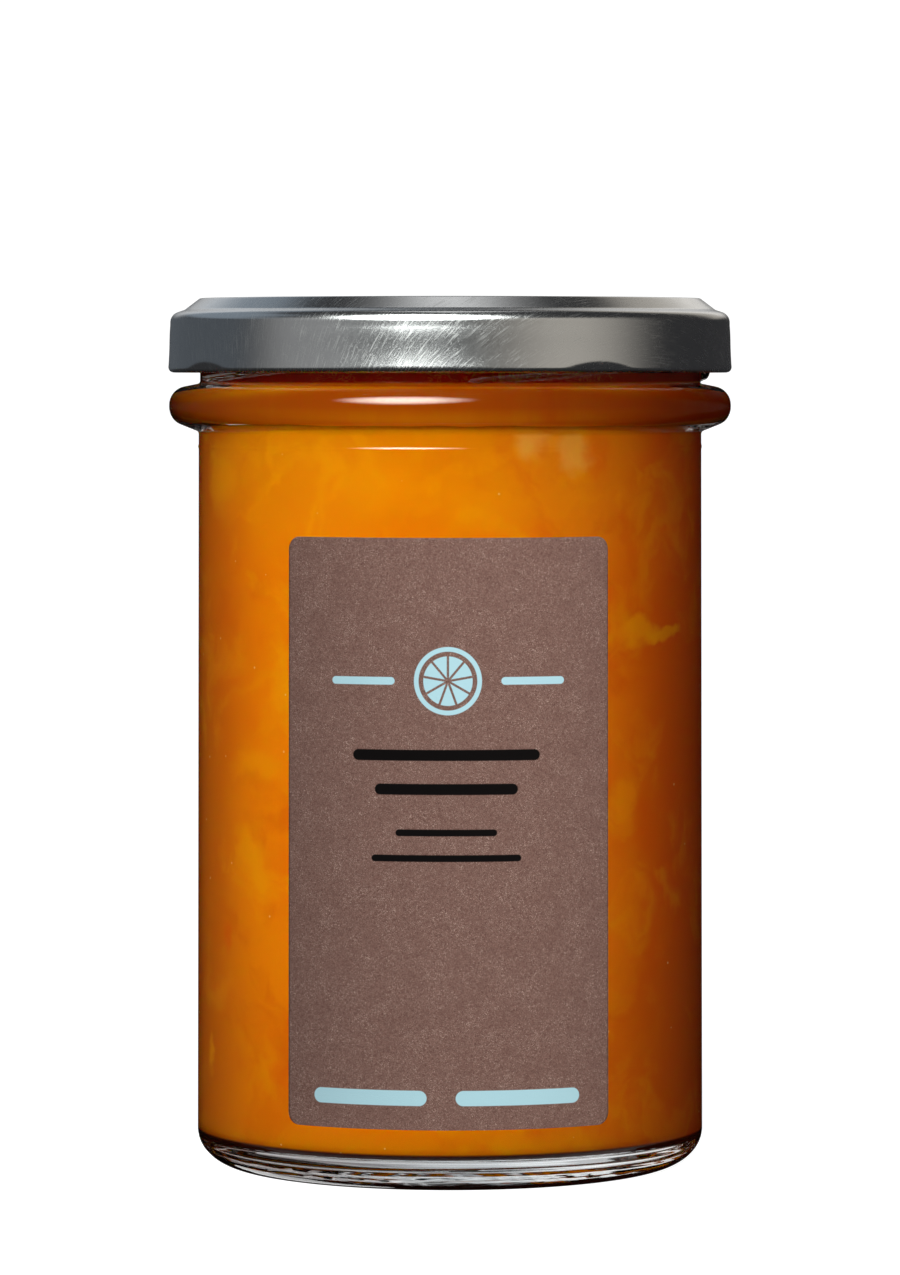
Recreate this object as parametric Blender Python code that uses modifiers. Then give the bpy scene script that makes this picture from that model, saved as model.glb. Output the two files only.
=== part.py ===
"""Marmalade jar: a straight-sided glass jar with a rounded bead below its neck, filled with set
marmalade, closed by a pressed metal twist-off lid, with one paper label on its front.

Metres, +Z up. The origin is the centre of the base on the surface that the jar stands on, and
the label faces -Y. An azimuth is an angle from -Y, positive towards +X.
"""

import math

import bmesh
import bpy
from mathutils import Matrix, Vector

MM = 0.001

# Glass body
BODY_TOP_RADIUS = 30.53 * MM
BODY_FOOT_RADIUS = 30.78 * MM
BORE_RADIUS = 28.3 * MM
FLOOR_Z = 3.9 * MM
FLOOR_CORNER = 1.5 * MM
HEEL_HEIGHT = 4.5 * MM
HEEL_REACH = 5.73 * MM
BEARING_WIDTH = 1.75 * MM
PUNT_EDGE_HEIGHT = 1.0 * MM
PUNT_EDGE_WIDTH = 1.3 * MM
PUNT_HEIGHT = 1.7 * MM

# Bead below the neck
BEAD_RADIUS = 34.19 * MM
BEAD_FOOT_Z = 89.0 * MM
BEAD_LOW_Z = 90.55 * MM
BEAD_HIGH_Z = 94.37 * MM
BEAD_NOSE = 2.4 * MM
BEAD_FOOT_FILLET = 0.9 * MM

# Neck, rim and thread
NECK_RADIUS = 30.35 * MM
NECK_Z = 95.2 * MM
NECK_FILLET = 0.35 * MM
RIM_Z = 103.65 * MM
RIM_ROUND = 0.6 * MM
RIB_RADIUS = 1.3 * MM
RIB_AXIS_RADIUS = 30.3 * MM
RIB_LOW_Z = 96.45 * MM
RIB_SLOPE = 0.075
RIB_SPAN = math.radians(72)
RIB_AZIMUTHS = [math.radians(a) for a in (3, 84, 183, 283)]
RIB_POINTS = 13
RIB_END_SCALE = 0.35

# Marmalade
FILL_Z = 98.5 * MM
TOUCH_GAP = 0.3 * MM

# Lid
LID_RADIUS = 34.25 * MM
LID_FOOT_Z = 96.5 * MM
LID_TOP_Z = 105.5 * MM
SHEET = 0.3 * MM
SHOULDER_Z = 103.35 * MM
SHOULDER_ROUND = 1.0 * MM
COVE_RADIUS = 32.2 * MM
COVE_Z = 104.1 * MM
COVE_ROUND = 0.8 * MM
RING_OUTER_RADIUS = 30.35 * MM
RING_INNER_RADIUS = 29.35 * MM
RING_ROUND = 0.5 * MM
PANEL_RADIUS = 28.7 * MM
PANEL_Z = 104.25 * MM
PANEL_ROUND = 0.5 * MM
CURL_RADIUS = 32.75 * MM
CURL_HEIGHT = 1.6 * MM
CURL_ROUND = 0.55 * MM

# Lugs, where the curl is pressed inwards, and the dent that each leaves in the skirt
LUG_AZIMUTHS = [math.radians(31.2 + 90 * i) for i in range(4)]
LUG_WIDTH = 10.0 * MM
LUG_TUBE_RADIUS = 0.7 * MM
LUG_AXIS_Z = LID_FOOT_Z + LUG_TUBE_RADIUS + CURL_ROUND / 4
LUG_AXIS_RADIUS = 32.65 * MM
LUG_POINTS = 7
DENT_WIDTH = 12.0 * MM
DENT_HEIGHT = 1.6 * MM
DENT_CUTTER = (4.0 * MM, 1.3 * DENT_WIDTH, 8.0 * MM)

# Label
LABEL_HALF_ANGLE = math.radians(37.75)
LABEL_TURN = math.radians(-0.45)
LABEL_LOW_Z = 7.75 * MM
LABEL_HIGH_Z = 77.25 * MM
LABEL_THICKNESS = 0.2 * MM
LABEL_CORNER = 1.5 * MM

# Meshing
TURN_STEPS = 68
ARC_CHORD = 0.5 * MM
ARC_PIECES_LEAST = 2
ARC_PIECES_MOST = 5
HEEL_PIECES = 6
MERGE_DISTANCE = 0.01 * MM


def clear_scene():
    """Removes whatever objects the file holds."""
    for thing in list(bpy.data.objects):
        bpy.data.objects.remove(thing)


def new_collection(name):
    """A collection linked to the scene."""
    collection = bpy.data.collections.new(name)
    bpy.context.scene.collection.children.link(collection)
    return collection


def finish(name, colour, roughness, metallic=0.0, transmission=0.0):
    """A Principled material."""
    material = bpy.data.materials.new(name)
    material.use_nodes = True
    shader = material.node_tree.nodes["Principled BSDF"]
    shader.inputs["Base Color"].default_value = (*colour, 1.0)
    shader.inputs["Roughness"].default_value = roughness
    shader.inputs["Metallic"].default_value = metallic
    shader.inputs["Transmission Weight"].default_value = transmission
    return material


def rounded(corners):
    """The points of an outline through corners (radius, height, fillet), with each fillet an arc."""
    points = []
    for index, (radius, height, fillet) in enumerate(corners):
        here = Vector((radius, height))
        if fillet == 0:
            points.append(here)
            continue
        before = (Vector(corners[index - 1][:2]) - here).normalized()
        after = (Vector(corners[index + 1][:2]) - here).normalized()
        half_angle = before.angle(after) / 2
        tangent_length = fillet / math.tan(half_angle)
        centre = here + (before + after).normalized() * fillet / math.sin(half_angle)
        spoke = here + before * tangent_length - centre
        first_angle = math.atan2(spoke.y, spoke.x)
        sweep = math.copysign(math.pi - 2 * half_angle, after.cross(before))
        pieces = math.ceil(abs(sweep) * fillet / ARC_CHORD)
        pieces = min(max(pieces, ARC_PIECES_LEAST), ARC_PIECES_MOST)
        for step in range(pieces + 1):
            angle = first_angle + sweep * step / pieces
            points.append(centre + fillet * Vector((math.cos(angle), math.sin(angle))))
    return points


def inset(corners, distance):
    """The same corners moved to the right of their direction of travel, fillets kept concentric."""
    places = [Vector(corner[:2]) for corner in corners]
    ways = [(b - a).normalized() for a, b in zip(places, places[1:])]
    moved = []
    for index, (place, corner) in enumerate(zip(places, corners)):
        way_in = ways[max(index - 1, 0)]
        way_out = ways[min(index, len(ways) - 1)]
        right_in = Vector((way_in.y, -way_in.x))
        right_out = Vector((way_out.y, -way_out.x))
        shift = (right_in + right_out) * distance / (1 + right_in.dot(right_out))
        turns_right = way_in.cross(way_out) < 0
        fillet = corner[2]
        if fillet > 0:
            fillet = fillet - distance if turns_right else fillet + distance
        moved.append((*(place + shift), fillet))
    return moved


def turned(name, outline, material, collection, closed=False):
    """A shape turned round the Z axis from an outline that runs down its outer side."""
    count = len(outline)
    edges = [(i, i + 1) for i in range(count - 1)]
    if closed:
        edges.append((count - 1, 0))
    mesh = bpy.data.meshes.new(name)
    mesh.from_pydata([(radius, 0.0, height) for radius, height in outline], edges, [])
    mesh.materials.append(material)
    piece = bpy.data.objects.new(name, mesh)
    collection.objects.link(piece)
    screw = piece.modifiers.new("turn", "SCREW")
    screw.axis = "Z"
    screw.angle = 2 * math.pi
    screw.steps = TURN_STEPS
    screw.render_steps = TURN_STEPS
    screw.use_merge_vertices = True
    screw.merge_threshold = MERGE_DISTANCE
    screw.use_smooth_shade = True
    return piece


def tube(name, points, radius, scales, collection):
    """A round rod through the points, as a welded mesh, its thickness scaled at each point."""
    curve = bpy.data.curves.new(name, "CURVE")
    curve.dimensions = "3D"
    curve.twist_mode = "Z_UP"
    curve.bevel_depth = radius
    curve.bevel_resolution = 2
    curve.use_fill_caps = True
    spline = curve.splines.new("POLY")
    spline.points.add(len(points) - 1)
    for place, point, scale in zip(spline.points, points, scales):
        place.co = (*point, 1.0)
        place.radius = scale
    rod = bpy.data.objects.new(name + "_path", curve)
    collection.objects.link(rod)
    graph = bpy.context.evaluated_depsgraph_get()
    mesh = bpy.data.meshes.new_from_object(rod.evaluated_get(graph))
    shape = bmesh.new()
    shape.from_mesh(mesh)
    bmesh.ops.remove_doubles(shape, verts=shape.verts, dist=MERGE_DISTANCE)
    shape.to_mesh(mesh)
    shape.free()
    piece = bpy.data.objects.new(name, mesh)
    piece.matrix_world = rod.matrix_world
    collection.objects.link(piece)
    bpy.data.objects.remove(rod)
    return guide(piece)


def block(name, size, collection, placed, corner=0.0):
    """A box of the given size, its corners rounded as seen along Y, and moved by a matrix."""
    shape = bmesh.new()
    bmesh.ops.create_cube(shape, size=1.0)
    bmesh.ops.scale(shape, vec=size, verts=shape.verts)
    if corner > 0:
        along_y = [e for e in shape.edges if abs(e.verts[0].co.y - e.verts[1].co.y) > size[1] / 2]
        bmesh.ops.bevel(shape, geom=along_y, offset=corner, segments=5, profile=0.5, affect="EDGES")
    bmesh.ops.transform(shape, matrix=placed, verts=shape.verts)
    mesh = bpy.data.meshes.new(name)
    shape.to_mesh(mesh)
    shape.free()
    piece = bpy.data.objects.new(name, mesh)
    collection.objects.link(piece)
    return guide(piece)


def guide(piece):
    """Marks an object that only shapes others."""
    piece.hide_render = True
    piece.display_type = "WIRE"
    return piece


def combine(piece, other, operation):
    """Joins the other object to the piece, cuts it away, or keeps only what both hold."""
    boolean = piece.modifiers.new(operation.lower() + "_" + other.name, "BOOLEAN")
    boolean.operation = operation
    boolean.object = other


def arc_points(radius, low_z, slope, azimuth, span, count):
    """Points along a helix: the height grows by slope times the length of arc."""
    points = []
    for step in range(count):
        travel = span * step / (count - 1)
        angle = azimuth + travel
        height = low_z + slope * radius * travel
        points.append(Vector((radius * math.sin(angle), -radius * math.cos(angle), height)))
    return points


def body_radius(height):
    """The outer radius of the straight body, which widens a little towards its foot."""
    share = (height - HEEL_HEIGHT) / (BEAD_FOOT_Z - HEEL_HEIGHT)
    return BODY_FOOT_RADIUS + share * (BODY_TOP_RADIUS - BODY_FOOT_RADIUS)


def make_glass(collection, guides):
    """The jar: a thick floor over a shallow punt, a straight wall, a bead, a neck and its thread."""
    bearing_radius = BODY_FOOT_RADIUS - HEEL_REACH
    punt_radius = bearing_radius - BEARING_WIDTH
    corners = [
        (0.0, FLOOR_Z, 0.0),
        (BORE_RADIUS, FLOOR_Z, FLOOR_CORNER),
        (BORE_RADIUS, RIM_Z, RIM_ROUND),
        (NECK_RADIUS, RIM_Z, RIM_ROUND),
        (NECK_RADIUS, NECK_Z, NECK_FILLET),
        (BEAD_RADIUS, BEAD_HIGH_Z, BEAD_NOSE),
        (BEAD_RADIUS, BEAD_LOW_Z, BEAD_NOSE),
        (BODY_TOP_RADIUS, BEAD_FOOT_Z, BEAD_FOOT_FILLET),
    ]
    for step in range(HEEL_PIECES + 1):
        turn = math.pi / 2 * step / HEEL_PIECES
        radius = bearing_radius + HEEL_REACH * math.cos(turn)
        corners.append((radius, HEEL_HEIGHT * (1 - math.sin(turn)), 0.0))
    corners += [
        (punt_radius, 0.0, 0.0),
        (punt_radius - PUNT_EDGE_WIDTH, PUNT_EDGE_HEIGHT, RIM_ROUND),
        (0.0, PUNT_HEIGHT, 0.0),
    ]
    glass = finish("clear_glass", (0.95, 0.96, 0.96), 0.02, transmission=1.0)
    jar = turned("glass_jar", rounded(corners), glass, collection)
    scales = [1.0] * RIB_POINTS
    scales[0] = scales[-1] = RIB_END_SCALE
    for number, azimuth in enumerate(RIB_AZIMUTHS):
        path = arc_points(
            RIB_AXIS_RADIUS, RIB_LOW_Z, RIB_SLOPE, azimuth, RIB_SPAN, RIB_POINTS
        )
        rib = tube(f"thread_rib_{number}", path, RIB_RADIUS, scales, guides)
        combine(jar, rib, "UNION")
    return jar


def make_marmalade(collection):
    """The set marmalade: one solid that fills the bore up to its level, a small gap off the glass."""
    corners = [
        (0.0, FILL_Z, 0.0),
        (BORE_RADIUS - TOUCH_GAP, FILL_Z, 0.0),
        (BORE_RADIUS - TOUCH_GAP, FLOOR_Z + TOUCH_GAP, FLOOR_CORNER - TOUCH_GAP),
        (0.0, FLOOR_Z + TOUCH_GAP, 0.0),
    ]
    fruit = finish("marmalade", (0.74, 0.26, 0.01), 0.25)
    return turned("marmalade", rounded(corners), fruit, collection)


def make_lid(collection, guides):
    """The lid: a sheet with a recessed panel, a raised ring, a shoulder, a skirt and a curled foot."""
    sheet_corners = [
        (0.0, PANEL_Z, 0.0),
        (PANEL_RADIUS, PANEL_Z, PANEL_ROUND),
        (RING_INNER_RADIUS, LID_TOP_Z, RING_ROUND),
        (RING_OUTER_RADIUS, LID_TOP_Z, RING_ROUND),
        (COVE_RADIUS, COVE_Z, COVE_ROUND),
        (LID_RADIUS, SHOULDER_Z, SHOULDER_ROUND),
    ]
    curl_top = LID_FOOT_Z + CURL_HEIGHT
    under_side = inset(sheet_corners + [(LID_RADIUS, curl_top, 0.0)], SHEET)
    curl = [
        (LID_RADIUS, LID_FOOT_Z, CURL_ROUND),
        (CURL_RADIUS, LID_FOOT_Z, CURL_ROUND),
        (CURL_RADIUS, curl_top, CURL_ROUND),
    ]
    metal = finish("tinplate", (0.62, 0.63, 0.64), 0.32, metallic=1.0)
    outline = rounded(sheet_corners + curl + under_side[::-1])
    lid = turned("lid", outline, metal, collection)
    dent_depth = LID_RADIUS - math.sqrt(LID_RADIUS**2 - (DENT_WIDTH / 2) ** 2)
    dent_tilt = math.atan2(dent_depth, DENT_HEIGHT)
    half_lug = LUG_WIDTH / LUG_AXIS_RADIUS / 2
    for number, azimuth in enumerate(LUG_AZIMUTHS):
        path = arc_points(
            LUG_AXIS_RADIUS, LUG_AXIS_Z, 0.0, azimuth - half_lug, 2 * half_lug, LUG_POINTS
        )
        scales = [1.0] * LUG_POINTS
        lug = tube(f"lug_{number}", path, LUG_TUBE_RADIUS, scales, guides)
        combine(lid, lug, "UNION")
        turn = Matrix.Rotation(azimuth - math.pi / 2, 4, "Z")
        place = Matrix.Translation((LID_RADIUS, 0.0, LID_FOOT_Z + DENT_HEIGHT))
        tilt = Matrix.Rotation(dent_tilt, 4, "Y")
        outside = Matrix.Translation((DENT_CUTTER[0] / 2, 0.0, 0.0))
        dent = block(f"dent_{number}", DENT_CUTTER, guides, turn @ place @ tilt @ outside)
        combine(lid, dent, "DIFFERENCE")
    return lid


def make_label(collection, guides):
    """The label: a thin skin round the front of the body, a small gap off the glass."""
    skin = []
    for height, offset in (
        (LABEL_HIGH_Z + MM, TOUCH_GAP + LABEL_THICKNESS),
        (LABEL_LOW_Z - MM, TOUCH_GAP + LABEL_THICKNESS),
        (LABEL_LOW_Z - MM, TOUCH_GAP),
        (LABEL_HIGH_Z + MM, TOUCH_GAP),
    ):
        skin.append((body_radius(height) + offset, height))
    paper = finish("label_paper", (0.17, 0.09, 0.075), 0.6)
    label = turned("label", skin, paper, collection, closed=True)
    width = 2 * (BODY_FOOT_RADIUS + TOUCH_GAP) * math.sin(LABEL_HALF_ANGLE)
    depth = 2 * BODY_FOOT_RADIUS
    size = (width, depth, LABEL_HIGH_Z - LABEL_LOW_Z)
    turn = Matrix.Rotation(LABEL_TURN, 4, "Z")
    place = Matrix.Translation((0.0, -depth / 2, (LABEL_HIGH_Z + LABEL_LOW_Z) / 2))
    outline = block("label_outline", size, guides, turn @ place, corner=LABEL_CORNER)
    combine(label, outline, "INTERSECT")
    return label


def main():
    """Builds the jar's four pieces under one empty."""
    clear_scene()
    parts = new_collection("marmalade_jar")
    guides = new_collection("guides")
    holder = bpy.data.objects.new("marmalade_jar", None)
    parts.objects.link(holder)
    pieces = [
        make_glass(parts, guides),
        make_marmalade(parts),
        make_lid(parts, guides),
        make_label(parts, guides),
    ]
    for piece in pieces:
        piece.parent = holder


main()
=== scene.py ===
"""Looks of the marmalade jar: clear glass, set marmalade, a brushed tinplate lid and a paper label.

Sizes of pieces are in millimetres until a mesh is made. An azimuth is an angle from -Y, where the
label is, positive towards +X, so a point at azimuth a and radius r is at (r sin a, -r cos a).
"""

import math

import bpy
import numpy as np
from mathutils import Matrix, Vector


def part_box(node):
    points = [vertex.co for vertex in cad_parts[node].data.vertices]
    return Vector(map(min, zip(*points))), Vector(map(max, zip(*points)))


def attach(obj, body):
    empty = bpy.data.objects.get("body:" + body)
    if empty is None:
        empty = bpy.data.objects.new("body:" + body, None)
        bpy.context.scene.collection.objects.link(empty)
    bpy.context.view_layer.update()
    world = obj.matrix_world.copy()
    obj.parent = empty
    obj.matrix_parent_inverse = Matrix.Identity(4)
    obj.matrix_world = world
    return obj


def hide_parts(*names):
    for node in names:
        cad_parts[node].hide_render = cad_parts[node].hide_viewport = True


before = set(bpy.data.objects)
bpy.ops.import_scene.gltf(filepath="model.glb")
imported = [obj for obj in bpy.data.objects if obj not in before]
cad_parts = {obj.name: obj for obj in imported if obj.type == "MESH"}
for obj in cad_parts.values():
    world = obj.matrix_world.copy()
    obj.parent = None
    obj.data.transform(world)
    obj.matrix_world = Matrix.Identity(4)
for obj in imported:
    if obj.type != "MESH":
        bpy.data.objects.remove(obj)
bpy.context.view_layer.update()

MM = 0.001


def cad_size(node):
    """The lowest and highest corner of a CAD node in millimetres."""
    low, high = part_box(node)
    return np.array(low) / MM, np.array(high) / MM


_, JAR_HIGH = cad_size("glass_jar")
FILL_LOW, FILL_HIGH = cad_size("marmalade")
LID_LOW, LID_HIGH = cad_size("lid")
LABEL_LOW, LABEL_HIGH = cad_size("label")

# The gap that the CAD marmalade keeps off the glass
CAD_GAP = 0.3

# Glass body
BODY_TOP_RADIUS = 30.53
BODY_FOOT_RADIUS = 30.78
BORE_RADIUS = FILL_HIGH[0] + CAD_GAP
FLOOR_Z = FILL_LOW[2] - CAD_GAP
FLOOR_CORNER = 1.5
HEEL_HEIGHT = 4.5
HEEL_REACH = 5.73
BEARING_WIDTH = 1.75
PUNT_EDGE_HEIGHT = 1.0
PUNT_EDGE_WIDTH = 1.3
PUNT_HEIGHT = 1.7

# Bumps of the ring that the jar stands on, and how far in from its edges they are full
STIPPLE_COUNT = 57
STIPPLE_HEIGHT = 0.25
STIPPLE_FADE = 0.4

# Ripples of pressed glass in the heel and the punt: each wave by the times that it swells round
# the jar and its pitch, the seed of their places, their height, and how far in they are full
HEEL_RIPPLES = [(3, 0.9), (5, 1.5), (2, 2.4), (4, 4.1)]
HEEL_SEED = 3
HEEL_RIPPLE_HEIGHT = 0.02
HEEL_FADE = 0.5
HEEL_FADE_IN = 1.0
PUNT_RIPPLES = [(4, 1.5), (6, 2.1), (3, 3.2), (2, 5.3)]
PUNT_SEED = 5
PUNT_RIPPLE_HEIGHT = 0.03
PUNT_FADE = 3.0
SWELL_MEAN = 0.6
SWELL_RANGE = 0.4
LINE_WANDER = 1.6

# The radii between which a point counts as on the outer side of the wall, and the height below
# which it counts as on the underside
OUTSIDE_FROM = BORE_RADIUS + 0.5
OUTSIDE_FULL = BORE_RADIUS + 1.2
UNDERSIDE_Z = FLOOR_Z - 1.0

# Bead, with the mould's parting line below it
BEAD_RADIUS = JAR_HIGH[0]
BEAD_FOOT_Z = 89.35
BEAD_LOW_Z = 90.8
BEAD_HIGH_Z = 94.45
BEAD_NOSE = 2.25
BEAD_FOOT_FILLET = 0.45
PARTING_Z = 87.55
PARTING_HEIGHT = 0.07
PARTING_SPREAD = 0.13

# Neck, rim and threads
NECK_RADIUS = 30.35
NECK_Z = 95.2
NECK_FILLET = 0.35
RIM_Z = JAR_HIGH[2]
RIM_ROUND = 0.6
RIB_RADIUS = 1.3
RIB_AXIS_RADIUS = 30.3
RIB_LOW_Z = 96.45
RIB_SLOPE = 0.075
RIB_SPAN = math.radians(72)
RIB_AZIMUTHS = [math.radians(a) for a in (3, 84, 183, 283)]
RIB_TAPER = math.radians(6)
THREAD_FADE = 0.5

# Mould seams, which show on the bead
SEAM_AZIMUTHS = [math.radians(a) for a in (-41.7, 138.3)]
SEAM_HEIGHT = 0.04
SEAM_SPREAD = 0.12
SEAM_FROM_Z = BEAD_FOOT_Z + 0.5
SEAM_FULL_Z = BEAD_LOW_Z + 1.0
SEAM_FADE = 0.6

# Marmalade, which reaches this far into the glass
FILL_BITE = 0.05
FILL_Z = FILL_HIGH[2]
FILL_ROUND = 0.4

# Lid
LID_RADIUS = LID_HIGH[0]
LID_FOOT_Z = LID_LOW[2]
LID_TOP_Z = LID_HIGH[2]
SHEET = 0.3
SHOULDER_Z = 103.5
SHOULDER_ROUND = 1.3
COVE_RADIUS = 32.2
COVE_Z = 104.1
COVE_ROUND = 0.8
RING_OUTER_RADIUS = 30.35
RING_INNER_RADIUS = 29.35
RING_ROUND = 0.5
PANEL_RADIUS = 28.7
PANEL_Z = 104.25
PANEL_ROUND = 0.5
CURL_RADIUS = 32.75
CURL_HEIGHT = 1.6
CURL_ROUND = 0.7

# What still counts as the curl above its top, then the skirt's flare and lean, and how far inside
# the skirt they fade out
CURL_SLACK = 0.05
FLARE = 0.2
FLARE_HEIGHT = 4.6
EASE = 0.09
EASE_HEIGHT = 2.0
FLARE_FADE = 0.2

# Lugs, with the distances from a lug's middle where it is still full and where it ends
LUG_AZIMUTHS = [math.radians(31.2 + 90 * i) for i in range(4)]
LUG_WIDTH = 10.0
LUG_DEPTH = 0.8
LUG_FULL = LUG_WIDTH / 2 - 1.5
LUG_END = LUG_WIDTH / 2 + 1.0

# The dent at each lug: its size, the height up to which it is worked out, the rounding of its
# edges, and the angle either way within which its flat face lies
DENT_WIDTH = 12.0
DENT_HEIGHT = 1.6
DENT_TOP = 3.5
DENT_SOFTNESS = 0.04
DENT_SECTOR = 1.0

# Label
LABEL_TURN = math.radians(-0.45)
LABEL_HALF_ANGLE = math.radians(37.75)
LABEL_CORNER = 1.5
LABEL_THICKNESS = 0.1
LABEL_LIFT = 0.12
LABEL_COLUMNS = 160
LABEL_ROWS = 120

# Meshing
JAR_COLUMNS = 5 * STIPPLE_COUNT
HEEL_ROWS = 66
LID_COLUMNS = 360
ARC_TURN = math.radians(9)

# Camera, level with the neck; the photograph's horizon is a row of its pixels
PHOTO_HEIGHT = 1275
CAMERA_DISTANCE = 766.0
CAMERA_HEIGHT = 97.9
HORIZON_ROW = 361.0
PIXEL_SIZE = 0.12165
SENSOR = 36.0


def smooth_step(low, high, value):
    """0 below low, 1 above high, and an even S between them."""
    share = np.clip((value - low) / (high - low), 0.0, 1.0)
    return share * share * (3.0 - 2.0 * share)


def bell(distance, spread):
    """A smooth bump of height 1 round zero distance."""
    return np.exp(-0.5 * (distance / spread) ** 2)


def turn_between(azimuth, centre):
    """The signed angle from centre to azimuth, at most half a turn either way."""
    return (azimuth - centre + math.pi) % (2.0 * math.pi) - math.pi


def outline(corners):
    """Points (radius, height) through corners (radius, height, fillet, spacing).

    A fillet is an arc tangent to both sides of its corner, with a point for each ARC_TURN of it.
    The straight run after a corner is divided evenly into steps no longer than its spacing.
    """
    places = np.array([corner[:2] for corner in corners])
    points = []
    for index, (_, _, fillet, spacing) in enumerate(corners):
        here = places[index]
        arc = here[None]
        if fillet > 0.0:
            before = places[index - 1] - here
            after = places[index + 1] - here
            before /= np.linalg.norm(before)
            after /= np.linalg.norm(after)
            half_angle = math.acos(before @ after) / 2.0
            middle = (before + after) / np.linalg.norm(before + after)
            centre = here + middle * fillet / math.sin(half_angle)
            spoke = here + before * fillet / math.tan(half_angle) - centre
            first = math.atan2(spoke[1], spoke[0])
            cross = after[0] * before[1] - after[1] * before[0]
            sweep = math.copysign(math.pi - 2.0 * half_angle, cross)
            steps = max(2, math.ceil(abs(sweep) / ARC_TURN))
            angles = first + sweep * np.linspace(0.0, 1.0, steps + 1)
            arc = centre + fillet * np.stack([np.cos(angles), np.sin(angles)], axis=1)
        if points:
            start = points[-1][-1]
            steps = max(1, math.ceil(np.linalg.norm(arc[0] - start) / last_spacing))
            shares = np.linspace(0.0, 1.0, steps + 1)[1:-1, None]
            points.append(start + shares * (arc[0] - start))
        points.append(arc)
        last_spacing = spacing
    joined = np.concatenate([run for run in points if len(run)])
    return joined[:, :1], joined[:, 1:]


def round_grid(radii, heights, azimuths):
    """The grid of points (r sin a, -r cos a, z), rows down the outline and columns round it."""
    shape = np.broadcast_shapes(radii.shape, heights.shape, azimuths.shape)
    x = radii * np.sin(azimuths)
    y = -radii * np.cos(azimuths)
    return np.stack([np.broadcast_to(part, shape) for part in (x, y, heights)], axis=2)


def all_round(columns):
    """Azimuths of evenly spaced columns over a full turn."""
    return np.arange(columns)[None] * (2.0 * math.pi / columns)


def with_seams(azimuths):
    """The columns with a few more on and beside each seam, so that the mesh holds its narrow rise."""
    beside = np.array([-2.0, -1.0, 0.0, 1.0, 2.0]) * SEAM_SPREAD / BEAD_RADIUS
    extra = [(seam + beside) % (2.0 * math.pi) for seam in SEAM_AZIMUTHS]
    return np.sort(np.concatenate([azimuths[0], *extra]))[None]


def skin(name, points, wraps=True, poles=(False, False)):
    """A smooth mesh over a grid of points, given in millimetres.

    Each quad joins neighbouring rows and columns. Where the grid wraps, its last column joins its
    first, and a first or last row that is a pole becomes one vertex with a fan of triangles.
    """
    rows, columns = points.shape[:2]
    index = np.arange(rows * columns).reshape(rows, columns)
    if poles[0]:
        index[0] = index[0, 0]
    if poles[1]:
        index[-1] = index[-1, 0]
    right = np.roll(index, -1, axis=1) if wraps else index[:, 1:]
    left = index if wraps else index[:, :-1]
    quads = np.stack([left[:-1], left[1:], right[1:], right[:-1]], axis=2)
    first = 1 if poles[0] else 0
    last = len(quads) - 1 if poles[1] else len(quads)
    faces = quads[first:last].reshape(-1, 4).tolist()
    if poles[0]:
        faces += quads[0][:, [0, 1, 2]].tolist()
    if poles[1]:
        faces += quads[-1][:, [0, 1, 3]].tolist()
    used = np.unique(index)
    renumber = np.zeros(rows * columns, int)
    renumber[used] = np.arange(len(used))
    mesh = bpy.data.meshes.new(name)
    faces = [[int(renumber[corner]) for corner in face] for face in faces]
    mesh.from_pydata((points.reshape(-1, 3)[used] * MM).tolist(), [], faces)
    mesh.shade_smooth()
    piece = bpy.data.objects.new(name, mesh)
    bpy.context.scene.collection.objects.link(piece)
    return piece, used


def lay_map(piece, used, name, across, along):
    """A UV map in millimetres from two grids of the same shape as the piece's points."""
    layer = piece.data.uv_layers.new(name=name)
    corners = np.zeros(len(piece.data.loops), int)
    piece.data.loops.foreach_get("vertex_index", corners)
    flat = np.stack([np.ravel(across)[used], np.ravel(along)[used]], axis=1)
    layer.uv.foreach_set("vector", flat[corners].ravel().astype(np.float32))


def body_radius(heights):
    """The outer radius of the straight body, which widens a little towards its foot."""
    share = (heights - HEEL_HEIGHT) / (BEAD_FOOT_Z - HEEL_HEIGHT)
    return BODY_FOOT_RADIUS + share * (BODY_TOP_RADIUS - BODY_FOOT_RADIUS)


def thread_rise(heights, azimuths):
    """How far the threads stand out from the neck.

    Each thread is a round rod of RIB_RADIUS along a helix, so at a distance d above or below its
    line it reaches out by the square root of RIB_RADIUS squared less d squared. Its ends run out.
    """
    rise = np.zeros(np.broadcast_shapes(heights.shape, azimuths.shape))
    for start in RIB_AZIMUTHS:
        travel = (azimuths - start) % (2.0 * math.pi)
        line = RIB_LOW_Z + RIB_SLOPE * RIB_AXIS_RADIUS * travel
        reach = np.sqrt(np.maximum(RIB_RADIUS**2 - (heights - line) ** 2, 0.0))
        ends = smooth_step(0.0, RIB_TAPER, travel) * smooth_step(0.0, RIB_TAPER, RIB_SPAN - travel)
        stand = RIB_AXIS_RADIUS + reach - NECK_RADIUS
        rise = np.maximum(rise, stand * ends)
    return rise


def glass_ripple(places, azimuths, waves, seed):
    """Wrinkles of pressed glass, from -1 to 1: the mean of sines that run round the jar.

    Each wave has a pitch along the outline, and swells and fades a number of times round the jar,
    where its line also wanders up and down.
    """
    draw = np.random.default_rng(seed)
    ripple = 0.0
    for turns, pitch in waves:
        swell_phase, wander_phase, line_phase = draw.uniform(0.0, 2.0 * math.pi, 3)
        swell = SWELL_MEAN + SWELL_RANGE * np.sin(turns * azimuths + swell_phase)
        wander = LINE_WANDER * np.sin((turns - 1) * azimuths + wander_phase)
        ripple = ripple + swell * np.sin(places * 2.0 * math.pi / pitch + wander + line_phase)
    return ripple / len(waves)


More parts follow.
